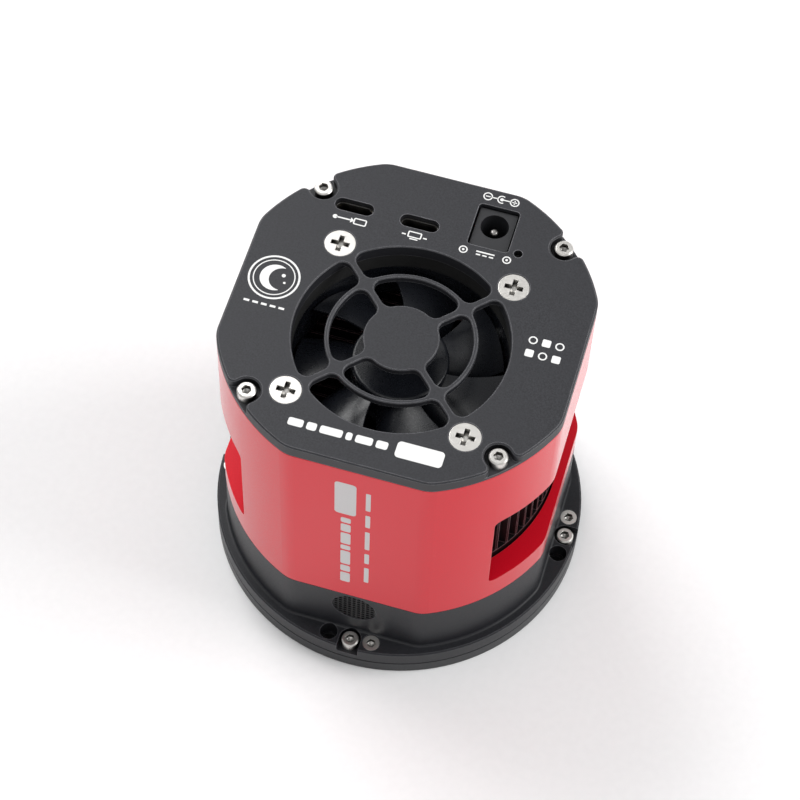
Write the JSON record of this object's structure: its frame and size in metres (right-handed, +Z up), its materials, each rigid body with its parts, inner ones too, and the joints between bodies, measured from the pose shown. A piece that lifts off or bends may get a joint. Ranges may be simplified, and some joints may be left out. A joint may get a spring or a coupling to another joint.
{
  "type": "cooled astronomy camera",
  "caption": "Squat octagonal cooled camera for telescopes: black cover with fan grille and sockets, red vented housing, black round tilt flange.",
  "frame": {"origin": "centre of the tilt plate's front face, the face a telescope adapter seats on", "axes": "+Z runs up the optical axis from the telescope side to the fan side; +X and -X point at the two air windows; +Y points at the edge with the sockets"},
  "size_m": [0.089, 0.089, 0.0861],
  "materials": {
    "black_anodised": "fine bead-blasted black anodising",
    "red_anodised": "satin red anodising",
    "stainless": "bright turned stainless steel",
    "black_fins": "black anodised fins",
    "fan_plastic": "black glass-filled nylon",
    "rubber": "black rubber",
    "board": "green solder mask",
    "chip": "black moulded packages",
    "connector": "black moulded connectors",
    "shell": "nickel-plated sheet",
    "brass": "turned brass",
    "copper": "bare copper",
    "winding": "enamelled copper wire",
    "iron": "stacked iron sheet",
    "magnet": "bonded ferrite",
    "bearing_steel": "ground steel",
    "optic": "coated optical glass",
    "ceramic": "white alumina",
    "package": "dark ceramic",
    "silicon": "polished silicon",
    "semiconductor": "bismuth telluride",
    "pad": "soft thermal pad",
    "foam": "closed-cell foam",
    "desiccant": "pressed desiccant",
    "membrane": "dark vent membrane",
    "heater": "amber film",
    "mesh": "dark moulded mesh",
    "light": "clear light pipe"
  },
  "bodies": {
    "tilt_plate": {"tilt_plate": "black_anodised"},
    "tilt_ring": {"light_seal_ring": "rubber"},
    "camera": {"board_connector": "connector", "body_screws": "stainless", "chamber_o_ring": "rubber", "cold_finger": "copper", "cover_screws": "stainless", "dc_jack_body": "connector", "dc_jack_pin": "shell", "desiccant_tablet": "desiccant", "dew_heater": "heater", "fan_bearings": "bearing_steel", "fan_circuit_board": "board", "fan_frame": "fan_plastic", "fan_gasket": "rubber", "fan_screws": "stainless", "fan_stator": "iron", "fan_windings": "winding", "feedthrough_header": "connector", "front_body": "black_anodised", "heatsink": "black_fins", "heatsink_screws": "stainless", "housing": "red_anodised", "insulation_foam": "foam", "light_pipe": "light", "main_board": "board", "main_board_chips": "chip", "peltier_pellets": "semiconductor", "peltier_plates": "ceramic", "rear_cover": "black_anodised", "sensor_board": "board", "sensor_board_screws": "stainless", "sensor_cover_glass": "optic", "sensor_die": "silicon", "sensor_package": "package", "socket_board": "board", "socket_board_posts": "brass", "socket_board_screws": "stainless", "thermal_pad": "pad", "usb_shells": "shell", "usb_tongues": "connector", "vent_gasket": "rubber", "vent_membrane": "membrane", "vent_mesh": "mesh", "window_glass": "optic", "window_o_ring": "rubber", "window_retainer": "black_anodised"},
    "fan_rotor": {"fan_rotor": "fan_plastic", "fan_magnet": "magnet", "fan_shaft": "bearing_steel"},
    "pull_screw_a": {"pull_screw_a": "stainless"},
    "pull_screw_b": {"pull_screw_b": "stainless"},
    "pull_screw_c": {"pull_screw_c": "stainless"},
    "pull_screw_d": {"pull_screw_d": "stainless"},
    "push_screw_a": {"push_screw_a": "stainless"},
    "push_screw_b": {"push_screw_b": "stainless"},
    "push_screw_c": {"push_screw_c": "stainless"},
    "push_screw_d": {"push_screw_d": "stainless"}
  },
  "joints": [
    {"name": "tilt_x", "type": "hinge", "parent": "tilt_plate", "child": "tilt_ring", "pos_m": [0, 0, 0.00405], "axis": [1, 0, 0], "range_deg": [-0.25, 0.25]},
    {"name": "tilt_y", "type": "hinge", "parent": "tilt_ring", "child": "camera", "pos_m": [0, 0, 0.00405], "axis": [0, 1, 0], "range_deg": [-0.25, 0.25]},
    {"name": "fan_spin", "type": "hinge", "parent": "camera", "child": "fan_rotor", "pos_m": [0, -0.0055, 0.0742], "axis": [0, 0, 1], "continuous": true},
    {"name": "pull_turn_a", "type": "hinge", "parent": "camera", "child": "pull_screw_a", "pos_m": [0, -0.0417, 0.006], "axis": [0, 0, 1], "range_deg": [-147, 147]},
    {"name": "push_turn_a", "type": "hinge", "parent": "tilt_plate", "child": "push_screw_a", "pos_m": [0.00508, -0.04139, 0.0039], "axis": [0, 0, 1], "range_deg": [-94, 94]},
    {"name": "pull_turn_b", "type": "hinge", "parent": "camera", "child": "pull_screw_b", "pos_m": [0.0417, 0, 0.006], "axis": [0, 0, 1], "range_deg": [-147, 147]},
    {"name": "push_turn_b", "type": "hinge", "parent": "tilt_plate", "child": "push_screw_b", "pos_m": [0.04139, 0.00508, 0.0039], "axis": [0, 0, 1], "range_deg": [-94, 94]},
    {"name": "pull_turn_c", "type": "hinge", "parent": "camera", "child": "pull_screw_c", "pos_m": [0, 0.0417, 0.006], "axis": [0, 0, 1], "range_deg": [-147, 147]},
    {"name": "push_turn_c", "type": "hinge", "parent": "tilt_plate", "child": "push_screw_c", "pos_m": [-0.00508, 0.04139, 0.0039], "axis": [0, 0, 1], "range_deg": [-94, 94]},
    {"name": "pull_turn_d", "type": "hinge", "parent": "camera", "child": "pull_screw_d", "pos_m": [-0.0417, 0, 0.006], "axis": [0, 0, 1], "range_deg": [-147, 147]},
    {"name": "push_turn_d", "type": "hinge", "parent": "tilt_plate", "child": "push_screw_d", "pos_m": [-0.04139, -0.00508, 0.0039], "axis": [0, 0, 1], "range_deg": [-94, 94]}
  ],
  "couplings": [
    {"joint": "pull_turn_a", "follows": "tilt_x", "ratio": -582.2},
    {"joint": "push_turn_a", "follows": "tilt_x", "ratio": 371.5},
    {"joint": "pull_turn_b", "follows": "tilt_y", "ratio": -582.2},
    {"joint": "push_turn_b", "follows": "tilt_y", "ratio": 371.5},
    {"joint": "pull_turn_c", "follows": "tilt_x", "ratio": 582.2},
    {"joint": "push_turn_c", "follows": "tilt_x", "ratio": -371.5},
    {"joint": "pull_turn_d", "follows": "tilt_y", "ratio": 582.2},
    {"joint": "push_turn_d", "follows": "tilt_y", "ratio": -371.5}
  ]
}
